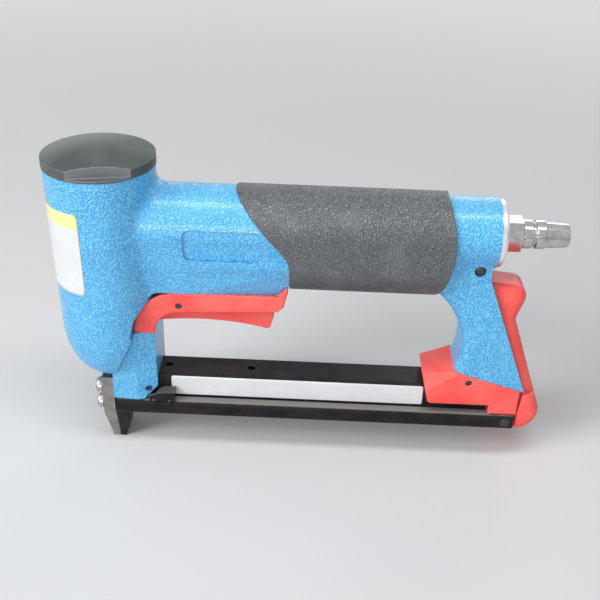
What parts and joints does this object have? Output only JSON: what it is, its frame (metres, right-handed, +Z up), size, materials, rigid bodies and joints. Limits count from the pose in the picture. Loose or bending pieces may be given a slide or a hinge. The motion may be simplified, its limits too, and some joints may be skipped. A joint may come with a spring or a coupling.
{
  "type": "pneumatic stapler",
  "caption": "Compressed-air fine-wire stapler with a cast body, sleeve grip, sprung trigger, driver piston, bottom-loading magazine on a latched slide, and an air plug at the rear.",
  "frame": {"origin": "centre of the staple outlet at the nose tip, on the driver axis", "axes": "+X rearward along the magazine towards the air plug, +Y across the tool, +Z up the driver axis towards the head cap"},
  "size_m": [0.2291, 0.0488, 0.1512],
  "materials": {
    "blue_hammertone": "hammertone paint",
    "cap_black": "black anodised",
    "grip_rubber": "leather grain",
    "red_plastic": "satin moulded",
    "black_oxide_steel": "black oxide",
    "nose_steel": "hardened and ground",
    "zinc_steel": "zinc plated",
    "dark_steel": "oiled",
    "spring_steel": "bright drawn",
    "nickel": "nickel plated",
    "bright_aluminium": "turned",
    "seal_rubber": "moulded",
    "bumper_rubber": "moulded",
    "white_acetal": "moulded",
    "brass_turned": "turned"
  },
  "bodies": {
    "tool": {"body_casting": "blue_hammertone", "head_cap": "cap_black", "cap_seal": "seal_rubber", "cylinder_sleeve": "bright_aluminium", "sleeve_seal": "seal_rubber", "piston_bumper": "bumper_rubber", "grip_sleeve": "grip_rubber", "end_plug": "bright_aluminium", "end_plug_seal": "seal_rubber", "end_plug_pin": "dark_steel", "air_plug": "nickel", "trigger_housing": "red_plastic", "trigger_pin": "dark_steel", "valve_bushing": "brass_turned", "valve_bushing_seals": "seal_rubber", "nose_front_plate": "nose_steel", "drive_guide": "nose_steel", "nose_screws_long": "zinc_steel", "nose_screws_short": "zinc_steel", "fixed_magazine": "black_oxide_steel", "magazine_pins": "dark_steel", "tail_seat": "red_plastic", "tail_pin": "dark_steel"},
    "piston_driver": {"piston": "bright_aluminium", "piston_ring": "seal_rubber", "driver_blade": "dark_steel", "driver_pin": "dark_steel"},
    "head_valve": {"head_valve": "white_acetal", "head_valve_seal": "seal_rubber", "head_valve_ring": "seal_rubber", "head_valve_spring": "spring_steel"},
    "trigger": {"trigger": "red_plastic"},
    "valve_stem": {"valve_stem": "zinc_steel", "valve_spring": "spring_steel"},
    "loading_slide": {"slide_channel": "black_oxide_steel", "staple_core": "dark_steel", "inner_nose": "black_oxide_steel", "core_screws": "zinc_steel", "guide_rod": "zinc_steel", "guide_clips": "black_oxide_steel", "latch_pin": "dark_steel", "latch_spring": "spring_steel"},
    "pusher": {"pusher": "zinc_steel", "pusher_spring": "spring_steel"},
    "latch_lever": {"latch_lever": "red_plastic"}
  },
  "joints": [
    {"name": "piston_stroke", "type": "slide", "parent": "tool", "child": "piston_driver", "axis": [0, 0, -1], "range_m": [0, 0.037]},
    {"name": "head_valve_lift", "type": "slide", "parent": "tool", "child": "head_valve", "axis": [0, 0, 1], "range_m": [0, 0.003], "stiffness_N_per_m": 900, "deforming": ["head_valve_spring"]},
    {"name": "trigger_pull", "type": "hinge", "parent": "tool", "child": "trigger", "pos_m": [0.0336, 0, 0.0791], "axis": [0, -1, 0], "range_deg": [0, 5.9], "stiffness_Nm_per_rad": 1.2},
    {"name": "valve_stem_lift", "type": "slide", "parent": "tool", "child": "valve_stem", "axis": [0, 0, 1], "range_m": [0, 0.0026], "deforming": ["valve_spring"]},
    {"name": "slide_open", "type": "slide", "parent": "tool", "child": "loading_slide", "axis": [1, 0, 0], "range_m": [0, 0.115]},
    {"name": "pusher_travel", "type": "slide", "parent": "loading_slide", "child": "pusher", "axis": [1, 0, 0], "range_m": [0, 0.105], "stiffness_N_per_m": 60, "deforming": ["pusher_spring"]},
    {"name": "latch_press", "type": "hinge", "parent": "loading_slide", "child": "latch_lever", "pos_m": [0.188, 0, 0.0226], "axis": [0, -1, 0], "range_deg": [0, 5], "stiffness_Nm_per_rad": 3}
  ],
  "couplings": [
    {"joint": "valve_stem_lift", "follows": "trigger_pull", "m_per_rad": 0.0244}
  ]
}
